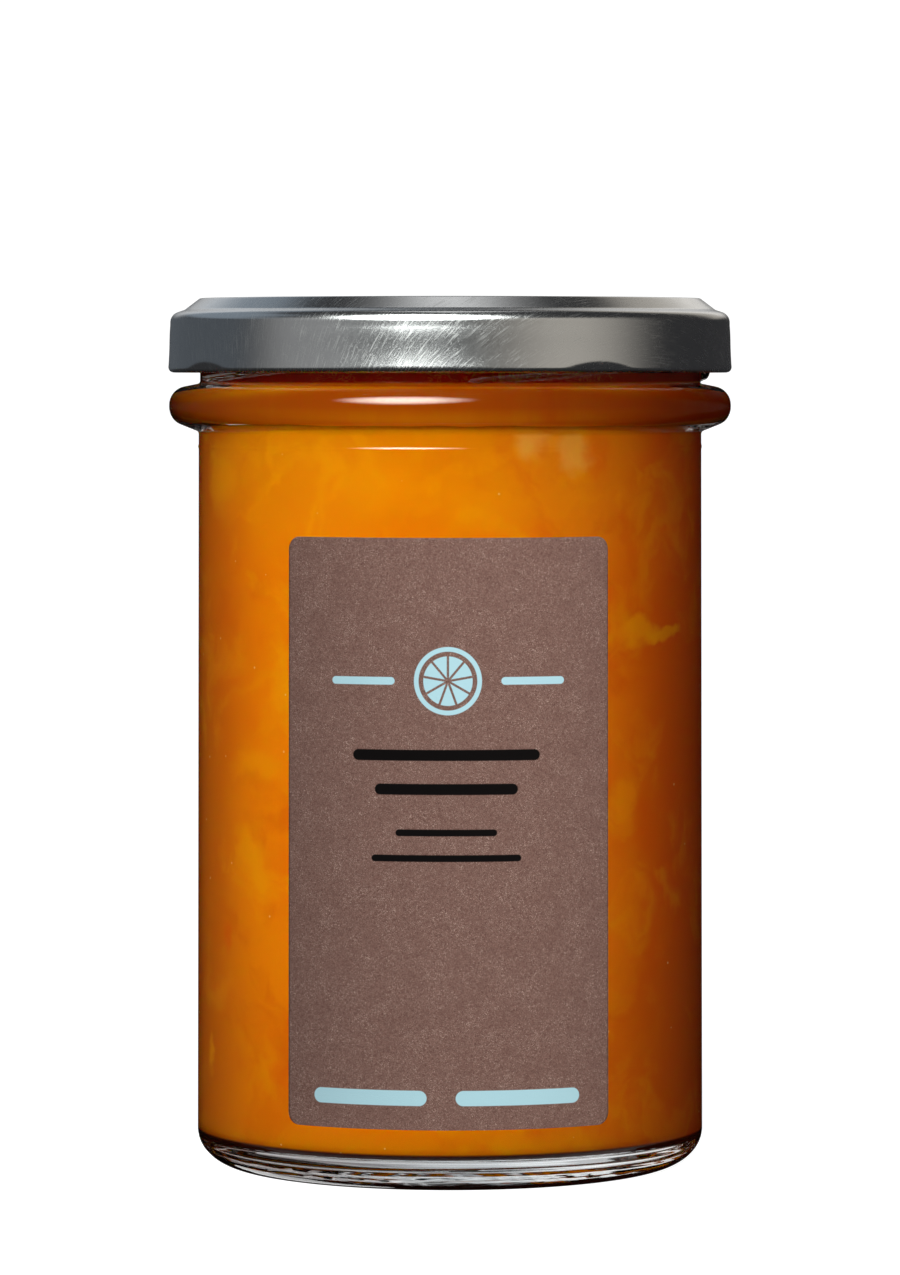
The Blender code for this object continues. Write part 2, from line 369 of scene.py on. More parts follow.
def make_glass():
    """The jar: inner floor, bore, rim, threaded neck, bead, straight body, heel and punt.

    A turned outline, whose radii then grow by the threads and the parting line and shrink off the
    seams and into the heel's ripples. On the underside the heights rise between the ring's bumps
    and with the punt's ripples.
    """
    bearing_radius = BODY_FOOT_RADIUS - HEEL_REACH
    punt_radius = bearing_radius - BEARING_WIDTH
    parting = body_radius(PARTING_Z)
    corners = [
        (0.0, FLOOR_Z, 0.0, 6.0),
        (BORE_RADIUS, FLOOR_Z, FLOOR_CORNER, 6.0),
        (BORE_RADIUS, RIM_Z, RIM_ROUND, 1.0),
        (NECK_RADIUS, RIM_Z, RIM_ROUND, 0.2),
        (NECK_RADIUS, NECK_Z, NECK_FILLET, 1.0),
        (BEAD_RADIUS, BEAD_HIGH_Z, BEAD_NOSE, 0.5),
        (BEAD_RADIUS, BEAD_LOW_Z, BEAD_NOSE, 0.2),
        (BODY_TOP_RADIUS, BEAD_FOOT_Z, BEAD_FOOT_FILLET, 0.3),
        (parting, PARTING_Z + 4 * PARTING_SPREAD, 0.0, PARTING_SPREAD / 2),
        (parting, PARTING_Z - 4 * PARTING_SPREAD, 0.0, 6.0),
    ]
    for turn in np.linspace(0.0, math.pi / 2, HEEL_ROWS):
        radius = bearing_radius + HEEL_REACH * math.cos(turn)
        corners.append((radius, HEEL_HEIGHT * (1.0 - math.sin(turn)), 0.0, 1.0))
    corners[-1] = (bearing_radius, 0.0, 0.0, BEARING_WIDTH / 10)
    corners += [
        (punt_radius, 0.0, 0.0, 0.2),
        (punt_radius - PUNT_EDGE_WIDTH, PUNT_EDGE_HEIGHT, RIM_ROUND, 0.45),
        (0.0, PUNT_HEIGHT, 0.0, 1.0),
    ]
    radii, heights = outline(corners)
    azimuths = with_seams(all_round(JAR_COLUMNS))
    outside = smooth_step(OUTSIDE_FROM, OUTSIDE_FULL, radii)
    on_neck = outside * smooth_step(NECK_Z, NECK_Z + THREAD_FADE, heights)
    on_neck *= smooth_step(0.0, THREAD_FADE, RIM_Z - heights)
    grown = radii + on_neck * thread_rise(heights, azimuths)
    grown = grown + outside * PARTING_HEIGHT * bell(heights - PARTING_Z, PARTING_SPREAD)
    on_bead = outside * smooth_step(SEAM_FROM_Z, SEAM_FULL_Z, heights)
    on_bead *= smooth_step(0.0, SEAM_FADE, NECK_Z - heights)
    for seam in SEAM_AZIMUTHS:
        distance = turn_between(azimuths, seam) * BEAD_RADIUS
        grown = grown - on_bead * SEAM_HEIGHT * (1.0 - bell(distance, SEAM_SPREAD))
    on_heel = smooth_step(0.0, HEEL_FADE, HEEL_HEIGHT - heights)
    on_heel *= smooth_step(0.0, HEEL_FADE_IN, radii - bearing_radius)
    along = HEEL_HEIGHT - heights + BODY_FOOT_RADIUS - radii
    wrinkles = 1.0 + glass_ripple(along, azimuths, HEEL_RIPPLES, HEEL_SEED)
    grown = grown - on_heel * HEEL_RIPPLE_HEIGHT * wrinkles
    on_bearing = smooth_step(0.0, STIPPLE_FADE, radii - punt_radius)
    on_bearing *= smooth_step(0.0, STIPPLE_FADE, bearing_radius - radii)
    bumps = (0.5 + 0.5 * np.cos(STIPPLE_COUNT * azimuths)) ** 2
    low_side = heights < UNDERSIDE_Z
    lifted = heights + low_side * on_bearing * STIPPLE_HEIGHT * (1.0 - bumps)
    under = low_side * smooth_step(0.0, PUNT_FADE, punt_radius - radii)
    folds = glass_ripple(radii, azimuths, PUNT_RIPPLES, PUNT_SEED)
    lifted = lifted + under * PUNT_RIPPLE_HEIGHT * folds
    piece, _ = skin("jar_glass", round_grid(grown, lifted, azimuths), poles=(True, True))
    return piece


def make_marmalade():
    """The marmalade: a turned solid that reaches just into the glass at the wall and the floor."""
    radius = BORE_RADIUS + FILL_BITE
    foot = FLOOR_Z - FILL_BITE
    radii, heights = outline([
        (0.0, FILL_Z, 0.0, 1.5),
        (radius, FILL_Z, FILL_ROUND, 2.0),
        (radius, foot, FLOOR_CORNER + FILL_BITE, 1.5),
        (0.0, foot, 0.0, 1.0),
    ])
    azimuths = all_round(JAR_COLUMNS // 2)
    piece, _ = skin("marmalade_fill", round_grid(radii, heights, azimuths), poles=(True, True))
    return piece


def dented(radii, heights, azimuths):
    """The radius where a flat face cuts the skirt's foot at each lug.

    The face leans in towards the foot. At DENT_HEIGHT it touches the full radius, and at the foot
    it cuts a chord of DENT_WIDTH, so its distance from the axis grows evenly with height. What
    stands past the face goes back to it, with edges that DENT_SOFTNESS rounds.
    """
    depth = LID_RADIUS - math.sqrt(LID_RADIUS**2 - (DENT_WIDTH / 2) ** 2)
    face = LID_RADIUS - depth * (1.0 - (heights - LID_FOOT_Z) / DENT_HEIGHT)
    for lug in LUG_AZIMUTHS:
        away = turn_between(azimuths, lug)
        limit = np.where(np.abs(away) < DENT_SECTOR, face / np.cos(away), LID_RADIUS * 2)
        past = radii - limit
        radii = radii - np.logaddexp(0.0, past / DENT_SOFTNESS) * DENT_SOFTNESS
    return radii


def make_lid():
    """The lid: a thin sheet with a sunk panel, a ring, a shoulder, a skirt and a curled foot.

    The skirt flares by FLARE over its lowest FLARE_HEIGHT, growing as the square of the way down,
    and leans in by EASE over the EASE_HEIGHT below the shoulder in the same way. Its UV map is the
    flat blank that it was pressed from: each point at its distance along the sheet from the middle.
    """
    top_radius = LID_RADIUS - FLARE
    curl_top = LID_FOOT_Z + CURL_HEIGHT
    corners = [
        (0.0, PANEL_Z, 0.0, 1.0),
        (PANEL_RADIUS, PANEL_Z, PANEL_ROUND, 0.3),
        (RING_INNER_RADIUS, LID_TOP_Z, RING_ROUND, 0.2),
        (RING_OUTER_RADIUS, LID_TOP_Z, RING_ROUND, 0.2),
        (COVE_RADIUS, COVE_Z, COVE_ROUND, 0.3),
        (top_radius, SHOULDER_Z, SHOULDER_ROUND, 0.4),
        (top_radius, LID_FOOT_Z + FLARE_HEIGHT, 0.0, 0.15),
        (top_radius, LID_FOOT_Z, CURL_ROUND, 0.3),
        (CURL_RADIUS, LID_FOOT_Z, CURL_ROUND, 0.3),
        (CURL_RADIUS, curl_top, CURL_ROUND, 0.3),
        (top_radius - SHEET, curl_top, 0.0, 0.5),
        (top_radius - SHEET, SHOULDER_Z - SHEET, SHOULDER_ROUND - SHEET, 0.4),
        (COVE_RADIUS - SHEET / 2, COVE_Z - SHEET, COVE_ROUND, 0.4),
        (RING_OUTER_RADIUS - SHEET / 2, LID_TOP_Z - SHEET, RING_ROUND - SHEET, 0.3),
        (RING_INNER_RADIUS + SHEET / 2, LID_TOP_Z - SHEET, RING_ROUND - SHEET, 0.3),
        (PANEL_RADIUS + SHEET / 2, PANEL_Z - SHEET, PANEL_ROUND + SHEET, 1.5),
        (0.0, PANEL_Z - SHEET, 0.0, 1.0),
    ]
    radii, heights = outline(corners)
    lower = np.clip(1.0 - (heights - LID_FOOT_Z) / FLARE_HEIGHT, 0.0, 1.0)
    upper = np.clip((heights - SHOULDER_Z + SHOULDER_ROUND) / EASE_HEIGHT + 1.0, 0.0, 1.0)
    change = FLARE * lower**2 - EASE * upper**2
    radii = radii + change * smooth_step(CURL_RADIUS - FLARE_FADE, top_radius, radii)
    azimuths = all_round(LID_COLUMNS)
    steps = np.hypot(np.diff(radii[:, 0]), np.diff(heights[:, 0]))
    travel = np.concatenate([[0.0], np.cumsum(steps)])[:, None]
    turned_in = (heights < curl_top + CURL_SLACK) & (radii < top_radius - SHEET / 2)
    outer = ~turned_in & (heights < LID_FOOT_Z + DENT_TOP)
    shaped = np.where(outer, dented(radii, heights, azimuths), radii)
    for lug in LUG_AZIMUTHS:
        distance = np.abs(turn_between(azimuths, lug)) * CURL_RADIUS
        pressed = 1.0 - smooth_step(LUG_FULL, LUG_END, distance)
        shaped = shaped - turned_in * pressed * LUG_DEPTH
    piece, used = skin("lid_tinplate", round_grid(shaped, heights, azimuths), poles=(True, True))
    shape = shaped.shape
    blank_x = np.broadcast_to(travel * np.sin(azimuths), shape)
    blank_y = np.broadcast_to(-travel * np.cos(azimuths), shape)
    lay_map(piece, used, "blank", blank_x, blank_y)
    return piece


def make_label():
    """The label: a rounded rectangle wrapped round the body, just proud of the glass.

    Row heights crowd towards the ends. At a height within LABEL_CORNER of an end, the half width
    is shortened by the corner arc, and each row is divided evenly over its own width.
    """
    middle = (LABEL_HIGH[2] + LABEL_LOW[2]) / 2
    half_height = (LABEL_HIGH[2] - LABEL_LOW[2]) / 2
    half_width = LABEL_HALF_ANGLE * BODY_FOOT_RADIUS
    share = np.linspace(1.0, -1.0, LABEL_ROWS)[:, None]
    rise = half_height * np.sin(share * math.pi / 2)
    into_corner = np.clip(np.abs(rise) - (half_height - LABEL_CORNER), 0.0, LABEL_CORNER)
    short = LABEL_CORNER - np.sqrt(LABEL_CORNER**2 - into_corner**2)
    across = np.linspace(-1.0, 1.0, LABEL_COLUMNS)[None] * (half_width - short)
    heights = middle + rise
    radii = body_radius(heights) + LABEL_LIFT
    points = round_grid(radii, heights, LABEL_TURN + across / BODY_FOOT_RADIUS)
    piece, used = skin("front_label", points, wraps=False)
    lay_map(piece, used, "print", across, np.broadcast_to(rise, across.shape))
    wall = piece.modifiers.new("paper", "SOLIDIFY")
    wall.thickness = LABEL_THICKNESS * MM
    wall.offset = -1.0
    return piece


class Number:
    """A number socket in a node tree. Arithmetic on it adds Math nodes."""

    def __init__(self, tree, socket):
        self.tree = tree
        self.socket = socket

    def math(self, operation, *values, clamped=False):
        """The result of a new Math node on these values, among which self isn't counted."""
        node = self.tree.nodes.new("ShaderNodeMath")
        node.operation = operation
        node.use_clamp = clamped
        for slot, value in zip(node.inputs, values):
            if isinstance(value, Number):
                self.tree.links.new(value.socket, slot)
            else:
                slot.default_value = value
        return Number(self.tree, node.outputs[0])

    def __add__(self, other):
        return self.math("ADD", self, other)

    def __sub__(self, other):
        return self.math("SUBTRACT", self, other)

    def __rsub__(self, other):
        return self.math("SUBTRACT", other, self)

    def __mul__(self, other):
        return self.math("MULTIPLY", self, other)

    def __abs__(self):
        return self.math("ABSOLUTE", self)

    __radd__ = __add__
    __rmul__ = __mul__

    def at_least(self, other):
        """The larger of the two."""
        return self.math("MAXIMUM", self, other)

    def root(self):
        """The square root."""
        return self.math("SQRT", self)

    def ramp(self, low, high):
        """0 below low and 1 above high, with a straight line between; low may be the larger."""
        return self.math("MULTIPLY", self - low, 1.0 / (high - low), clamped=True)

    def soft_ramp(self, low, high):
        """The same with an even S between 0 and 1."""
        share = self.ramp(low, high)
        return share * share * (3.0 - share * 2.0)


class Nodes:
    """A node tree and the short ways of adding nodes to it."""

    def __init__(self, tree):
        self.tree = tree

    def node(self, kind, settings=(), sockets=(), output=0):
        """Adds a node, sets its settings, then fills its sockets; gives one of its outputs."""
        node = self.tree.nodes.new(kind)
        for name, value in dict(settings).items():
            setattr(node, name, value)
        for name, value in dict(sockets).items():
            self.fill(node.inputs[name], value)
        return node.outputs[output]

    def fill(self, slot, value):
        """Links a socket or a Number to the slot, or sets the slot to a plain value."""
        if isinstance(value, Number):
            value = value.socket
        if isinstance(value, bpy.types.NodeSocket):
            self.tree.links.new(value, slot)
        else:
            slot.default_value = value

    def number(self, *words, **more):
        """A new node's output as a Number."""
        return Number(self.tree, self.node(*words, **more))

    def parts(self, vector):
        """The x, y and z of a vector as Numbers."""
        node = self.node("ShaderNodeSeparateXYZ", {}, {0: vector}).node
        return [Number(self.tree, output) for output in node.outputs]

    def place(self, scale=(1.0, 1.0, 1.0)):
        """Object coordinates, in millimetres times a scale for each axis."""
        here = self.node("ShaderNodeTexCoord", output="Object")
        sizes = tuple(part / MM for part in scale)
        return self.node("ShaderNodeMapping", {}, {"Vector": here, "Scale": sizes})

    def vector(self, operation, *vectors, **scale):
        """Vector arithmetic on one or two vectors, with Scale=number where the operation scales."""
        sockets = dict(enumerate(vectors), **scale)
        output = "Value" if operation == "LENGTH" else "Vector"
        return self.node("ShaderNodeVectorMath", {"operation": operation}, sockets, output)

    def noise(self, where, scale=1.0, detail=2.0, roughness=0.5, distortion=0.0):
        """Noise of about one cell to each 1 / scale of its vector, from 0 to 1."""
        sockets = {"Vector": where, "Scale": scale, "Detail": detail}
        sockets.update(Roughness=roughness, Distortion=distortion)
        return self.number("ShaderNodeTexNoise", {}, sockets)

    def shift(self, where, scale, reach):
        """The vector with smooth noise of this scale added to it, up to half the reach each way."""
        sockets = {"Vector": where, "Scale": scale, "Detail": 3.0}
        noise = self.node("ShaderNodeTexNoise", {}, sockets, output="Color")
        centred = self.vector("SUBTRACT", noise, (0.5, 0.5, 0.5))
        return self.vector("ADD", where, self.vector("SCALE", centred, Scale=reach))

    def blend(self, factor, first, second):
        """A colour between two colours."""
        sockets = {0: factor, 6: first, 7: second}
        return self.node("ShaderNodeMix", {"data_type": "RGBA"}, sockets, output=2)

    def turned_to(self, base, along, start, full, strength, tone):
        """The base colour, turned to a tone by the strength as a Number goes from start to full."""
        return self.blend(along.soft_ramp(start, full) * strength, base, tone)


class Finish(Nodes):
    """One material: its Principled shader and the nodes behind it."""

    def __init__(self, name, **settings):
        """A material with plain values in the shader's sockets, named with _ for each space."""
        self.material = bpy.data.materials.new(name)
        self.material.use_nodes = True
        super().__init__(self.material.node_tree)
        self.shader = self.tree.nodes["Principled BSDF"]
        for socket, value in settings.items():
            self.shader.inputs[socket.replace("_", " ")].default_value = value

    def paint(self, socket, value):
        """Fills a socket of the shader."""
        self.fill(self.shader.inputs[socket], value)

    def glint(self, ior):
        """Lays a smooth mirror over the shader, as strong as the Fresnel reflection for this index."""
        share = self.node("ShaderNodeFresnel", {}, {"IOR": ior})
        mirror = self.node("ShaderNodeBsdfGlossy", {}, {"Color": colour(*WHITE), "Roughness": 0.0})
        layers = {0: share, 1: self.shader.outputs[0], 2: mirror}
        mixed = self.node("ShaderNodeMixShader", {}, layers)
        self.fill(self.tree.nodes["Material Output"].inputs["Surface"], mixed)

    def bump(self, height, distance):
        """A normal from a height, where a height of 1 stands out by the distance in millimetres."""
        sockets = {"Height": height, "Distance": distance * MM}
        self.paint("Normal", self.node("ShaderNodeBump", {}, sockets))


def colour(red, green, blue):
    """A colour with no transparency, from its linear parts."""
    return (red, green, blue, 1.0)


WHITE = (1.0, 1.0, 1.0)

# The glass, its faint waves, stretched along the jar, and their height
CLEAR = colour(0.97, 0.985, 0.98)
WAVE_SCALE = (0.12, 0.12, 0.05)
WAVE_HEIGHT = 0.03

# The streaks in its thick base, painted reflection over a real bump: noise whose scale across the jar
# is so small that it is drawn out into rings, its range from pale to dark, its part in the bump, and
# how far down it is full
STREAK_SCALE = 0.05
STREAK_RANGE = (0.40, 0.58)
STREAK_REFLECTION_PALE = colour(0.74, 0.79, 0.81)
STREAK_REFLECTION_DARK = colour(0.24, 0.26, 0.28)
STREAK_BUMP = 0.1
STREAK_FADE = 1.0

# Painted shade darkens its left and painted light clears its right: across from and to, strength and
# colour
BASE_SIDE_SHADE_AND_LIGHT = [
    (4.0, -18.0, 0.85, colour(0.13, 0.10, 0.095)),
    (4.0, 16.0, 0.85, CLEAR),
]

# Painted shade in the wavy crease under the bead, by its height, how far that wanders and falls to the
# right, the softness of its upper edge, and how far down it fades out
CREASE_Z = 90.4
CREASE_WANDER = 0.8
CREASE_LEAN = 0.004
CREASE_EDGE = 0.12
CREASE_DEPTH = 1.2
CREASE_PAINTED_SHADE = colour(0.09, 0.06, 0.04)


def glass_finish():
    """Clear pressed glass: faint waves, painted shade in a crease under the bead, painted reflection
    streaks in its base.

    The streaks' noise is read on radius plus height, which changes all along the heel's curve.
    """
    finish = Finish("clear_glass", Roughness=0.0, IOR=1.5, Transmission_Weight=1.0)
    x, y, z = finish.parts(finish.place())
    radius = (x * x + y * y).root()
    rings = {0: x * STREAK_SCALE, 1: y * STREAK_SCALE, 2: z + radius}
    rings = finish.node("ShaderNodeCombineXYZ", {}, rings)
    streaks = finish.noise(rings, scale=0.42, detail=3.0, roughness=0.65)
    in_base = z.soft_ramp(HEEL_HEIGHT, HEEL_HEIGHT - STREAK_FADE)
    # Painted reflection: pale and dark streaks tint the thick base
    tint = finish.blend(streaks.ramp(*STREAK_RANGE), STREAK_REFLECTION_PALE, STREAK_REFLECTION_DARK)
    wander = finish.noise(finish.place(), scale=0.09, detail=2.0) - 0.5
    # Painted shade along the crease under the bead
    below = CREASE_Z + wander * CREASE_WANDER - x * CREASE_LEAN - z
    crease = below.ramp(0.0, CREASE_EDGE) * below.ramp(CREASE_DEPTH, CREASE_EDGE)
    crease = crease * radius.ramp(OUTSIDE_FROM, BORE_RADIUS + 1.0)
    clear = finish.blend(crease, CLEAR, CREASE_PAINTED_SHADE)
    # Painted shade on the base's left, painted light on its right
    for side in BASE_SIDE_SHADE_AND_LIGHT:
        tint = finish.turned_to(tint, x, *side)
    finish.paint("Base Color", finish.blend(in_base, clear, tint))
    waves = finish.noise(finish.place(WAVE_SCALE), detail=1.0)
    finish.bump(waves + in_base * streaks * STREAK_BUMP, WAVE_HEIGHT)
    return finish.material


# The jelly's refractive index over the glass's, so rays that skim along the base are mirrored
JELLY_IN_GLASS = 0.91

# How far light travels inside the jelly, in metres, and the share of that for each colour
JELLY_DEPTH = 0.008
JELLY_SHARES = (1.0, 0.28, 0.05)

# Its clouds, patches, specks and clumps are made ragged by noise of this scale and reach
RAGGED_SCALE = 0.25
RAGGED = 4.5

# The jelly's two tones, and the range of a slow noise over which the first becomes the second
JELLY = colour(0.92, 0.265, 0.0)
JELLY_REDDER = colour(0.87, 0.205, 0.0)
JELLY_RANGE = (0.40, 0.66)

# Pale clouds and deep patches, by the range of their noise, strength and colour
CLOUD_RANGE = (0.46, 0.70)
CLOUD_STRENGTH = 0.7
CLOUD = colour(0.96, 0.37, 0.0)
DEEP_PATCHES = (0.52, 0.72, 0.6, colour(0.76, 0.14, 0.0))

# Tones by height: from, to, strength and colour
BELOW_BEAD = (72.0, 84.0, 0.5, colour(0.82, 0.30, 0.0))
# Painted shade: darker towards the foot
SHADE_LOW_DOWN = (38.0, 8.0, 0.35, colour(0.55, 0.13, 0.0))
# Painted shade in a dark band behind the bead, and painted light in the band above it
SHADE_AND_LIGHT_BEHIND_BEAD = [
    (91.7, 92.5, 0.8, colour(0.62, 0.085, 0.0)),
    (93.3, 93.9, 0.8, colour(0.93, 0.26, 0.0)),
]

# Painted shade, deeper tones of the right and left side: across from and to, and colour; a cloud thins
# them
PAINTED_SIDE_SHADE = [
    (15.0, 26.0, colour(0.77, 0.12, 0.0)),
    (-21.0, -28.5, colour(0.72, 0.15, 0.0)),
]
SIDE_SHADE_STRENGTH = 0.95
SIDE_SHADE_THINNED = 0.35

# Small specks of pulp: one to some cells, by the cells' scale, the distance from a cell's middle
# between which a speck fades in, and the range of chance that leaves most cells without one
SPECK_SCALE = 0.055
SPECK_REACH = (0.24, 0.06)
SPECK_CHANCE = (0.70, 0.72)
SPECK_STRENGTH = 0.5

# Tiny bubbles, one in every cell, in the same way
BUBBLE_SCALE = 0.3
BUBBLE_REACH = (0.05, 0.03)
BUBBLE_STRENGTH = 0.7
BUBBLE = colour(1.0, 0.65, 0.2)

# The neck: its jelly, deep red as painted shade under the lid, and pale curls along the lines where a
# noise is halfway, in patches
NECK_HEIGHTS = (95.0, 95.5)
NECK_JELLY_SHADED = colour(0.85, 0.07, 0.0)
CURLS = colour(1.0, 0.42, 0.03)
CURLS_SCALE = (0.9, 0.9, 1.5)
CURLS_WIDTH = (0.025, 0.006)
CURLS_PATCHES = (0.47, 0.56)

# The underside of the jelly, dark with painted shade, and the heights between which its colour turns
UNDERSIDE_PAINTED_SHADE = colour(0.06, 0.010, 0.004)
UNDERSIDE_SHADE_HEIGHTS = (FLOOR_Z + 0.8, FLOOR_Z + 0.45)

# Clumps in the marmalade by azimuth, height, half width, half height, blur of the edge, strength
# and colour
PULP = colour(0.98, 0.37, 0.0)
PITH = colour(0.98, 0.47, 0.06)
PEEL = colour(0.80, 0.13, 0.0)
CLUMPS = [
    (50.0, 65.9, 3.6, 1.5, 0.4, 0.7, PULP),
    (60.0, 65.3, 3.4, 0.9, 0.4, 0.7, PULP),
    (45.4, 46.0, 1.9, 2.6, 0.4, 0.5, PULP),
    (53.0, 43.0, 2.4, 3.4, 0.6, 0.6, PEEL),
    (-50.0, 50.0, 4.0, 1.6, 0.8, 0.5, PULP),
    (-43.7, 58.3, 1.2, 1.9, 0.6, 0.4, PULP),
    (-66.0, 84.0, 3.4, 3.6, 0.7, 0.6, PULP),
    (19.1, 88.5, 1.8, 2.4, 0.6, 0.6, PITH),
    (29.8, 87.6, 2.4, 2.6, 0.4, 0.55, PITH),
    (36.5, 87.0, 1.6, 3.6, 0.6, 0.6, PEEL),
    (7.5, 81.5, 5.0, 3.0, 0.8, 0.4, PULP),
    (-17.6, 84.0, 5.5, 3.0, 0.8, 0.5, PULP),
    (-64.3, 29.0, 1.0, 1.5, 0.6, 0.6, PEEL),
    (-72.8, 14.5, 0.9, 2.0, 0.5, 0.5, PULP),
    (56.0, 27.8, 1.7, 2.8, 0.6, 0.6, PEEL),
]


def marmalade_finish():
    """Set orange jelly: smooth amber, with blurred pulp, a few clumps, peel, tiny bubbles and painted
    shade and light.

    A clump is an ellipsoid round a place on the jelly's skin, and the noise that is added to the
    place of each point makes its outline ragged.
    """
    finish = Finish(
        "set_marmalade",
        Roughness=0.4,
        Subsurface_Weight=1.0,
        Subsurface_Scale=JELLY_DEPTH,
        Subsurface_Radius=JELLY_SHARES,
        Specular_IOR_Level=0.0,
    )
    whole = finish.place()
    ragged = finish.shift(whole, RAGGED_SCALE, RAGGED)
    slow = finish.noise(ragged, scale=0.05, detail=2.0)
    base = finish.blend(slow.soft_ramp(*JELLY_RANGE), JELLY, JELLY_REDDER)
    x, _, z = finish.parts(whole)
    base = finish.turned_to(base, z, *BELOW_BEAD)
    cloud = finish.noise(ragged, scale=0.10, detail=4.0, distortion=1.0).soft_ramp(*CLOUD_RANGE)
    base = finish.blend(cloud * CLOUD_STRENGTH, base, CLOUD)
    deep = finish.noise(ragged, scale=0.08, detail=4.0, distortion=1.0)
    base = finish.turned_to(base, deep, *DEEP_PATCHES)
    # Painted shade on the right and left sides
    side_shade = SIDE_SHADE_STRENGTH - cloud * SIDE_SHADE_THINNED
    for start, full, tone in PAINTED_SIDE_SHADE:
        base = finish.turned_to(base, x, start, full, side_shade, tone)
    # Painted shade, darker towards the foot
    base = finish.turned_to(base, z, *SHADE_LOW_DOWN)
    cells = finish.node("ShaderNodeTexVoronoi", {}, {"Vector": ragged, "Scale": SPECK_SCALE}).node
    chance = finish.parts(cells.outputs["Color"])[0]
    speck = Number(finish.tree, cells.outputs["Distance"]).soft_ramp(*SPECK_REACH)
    base = finish.blend(speck * chance.ramp(*SPECK_CHANCE) * SPECK_STRENGTH, base, PULP)
    for azimuth, height, half_width, half_height, blur, strength, tone in CLUMPS:
        turn = math.radians(azimuth)
        centre = (BORE_RADIUS * math.sin(turn), -BORE_RADIUS * math.cos(turn), height)
        away = finish.vector("SUBTRACT", ragged, centre)
        shrink = (1.0 / half_width, 1.0 / half_width, 1.0 / half_height)
        reach = finish.vector("LENGTH", finish.vector("MULTIPLY", away, shrink))
        reach = Number(finish.tree, reach)
        base = finish.turned_to(base, reach, 1.0 + blur, 1.0 - blur, strength, tone)
    dots = finish.number("ShaderNodeTexVoronoi", {}, {"Vector": whole, "Scale": BUBBLE_SCALE})
    base = finish.blend(dots.ramp(*BUBBLE_REACH) * BUBBLE_STRENGTH, base, BUBBLE)
    # Painted shade and light in bands behind the bead
    for band in SHADE_AND_LIGHT_BEHIND_BEAD:
        base = finish.turned_to(base, z, *band)
    froth = finish.noise(finish.place(CURLS_SCALE), scale=1.0, detail=2.0, distortion=1.5)
    curls = abs(froth - 0.5).ramp(*CURLS_WIDTH)
    curls = curls * finish.noise(whole, scale=0.12).ramp(*CURLS_PATCHES)
    # Painted shade of the lid on the neck's jelly
    in_neck = finish.blend(curls, NECK_JELLY_SHADED, CURLS)
    base = finish.blend(z.soft_ramp(*NECK_HEIGHTS), base, in_neck)
    # Painted shade on the jelly's underside
    underside = z.soft_ramp(*UNDERSIDE_SHADE_HEIGHTS)
    finish.paint("Base Color", finish.blend(underside, base, UNDERSIDE_PAINTED_SHADE))
    finish.glint(JELLY_IN_GLASS)
    return finish.material


# The direction of the grain on the lid's blank, and how much longer it is than wide
GRAIN_AZIMUTH = math.radians(-46.5)
GRAIN_STRETCH = 20.0

# The ranges of noise that scratches, specks and rough patches take, and the specks' strength;
# the label's patches take the same range
SCRATCH_RANGE = (0.50, 0.70)
SPECK_RANGE = (0.50, 0.72)
SPECK_SHARE = 0.8
PATCH_RANGE = (0.35, 0.65)

# The roughness of plain tin, and what a scratch adds to it, outside and inside the rough patches
TIN_ROUGHNESS = 0.19
SCRATCH_ROUGHNESS = 0.08
PATCH_ROUGHNESS = 0.10

# The tone between the scratches and on them, and of the shadowed edge of the lid's foot
TIN = colour(0.60, 0.61, 0.615)
TIN_SCRATCHED = colour(0.68, 0.69, 0.685)
TIN_FOOT = colour(0.10, 0.09, 0.09)
TIN_FOOT_HEIGHTS = (LID_FOOT_Z + 0.5, LID_FOOT_Z + 0.1)

# The height of the grain, and the specks' part in it
GRAIN_HEIGHT = 0.002
SPECK_BUMP = 0.3


def tinplate_finish():
    """Bare tinplate brushed straight across the blank, so the grain turns round the skirt.

    It is fairly smooth between fine scratches, which are rough and so catch the lights more widely.
    """
    finish = Finish("brushed_tinplate", Metallic=1.0)
    flat = finish.node("ShaderNodeUVMap", {"uv_map": "blank"})
    along = {"Vector": flat, "Rotation": (0.0, 0.0, GRAIN_AZIMUTH)}
    along["Scale"] = (1.0, GRAIN_STRETCH, 1.0)
    combed = finish.node("ShaderNodeMapping", {"vector_type": "TEXTURE"}, along)
    scratches = finish.noise(combed, scale=6.5, detail=2.0, roughness=0.6)
    specks = finish.noise(flat, scale=5.0, detail=2.0, roughness=0.6, distortion=0.8)
    patchy = finish.noise(flat, scale=0.25, detail=1.0).ramp(*PATCH_RANGE)
    lines = scratches.ramp(*SCRATCH_RANGE).at_least(specks.ramp(*SPECK_RANGE) * SPECK_SHARE)
    roughness = TIN_ROUGHNESS + lines * (SCRATCH_ROUGHNESS + patchy * PATCH_ROUGHNESS)
    finish.paint("Roughness", roughness)
    tone = finish.blend(lines, TIN, TIN_SCRATCHED)
    foot = finish.parts(finish.place())[2].soft_ramp(*TIN_FOOT_HEIGHTS)
    finish.paint("Base Color", finish.blend(foot, tone, TIN_FOOT))
    finish.bump(scratches + specks * SPECK_BUMP, GRAIN_HEIGHT)
    return finish.material


# The label's paper: its two tones and the range of its grain between them, then pearly threads,
# which are at least THREADS_LEAST as strong everywhere and full in patches
PAPER_DARK = colour(0.142, 0.073, 0.058)
PAPER_PALE = colour(0.275, 0.155, 0.126)
GRAIN_RANGE = (0.36, 0.64)
PAPER_PEARL = colour(0.58, 0.42, 0.35)
THREAD_RANGE = (0.58, 0.66)
THREADS_LEAST = 0.4
THREADS_IN_PATCHES = 0.6
THREAD_BUMP = 0.5
PAPER_HEIGHT = 0.03

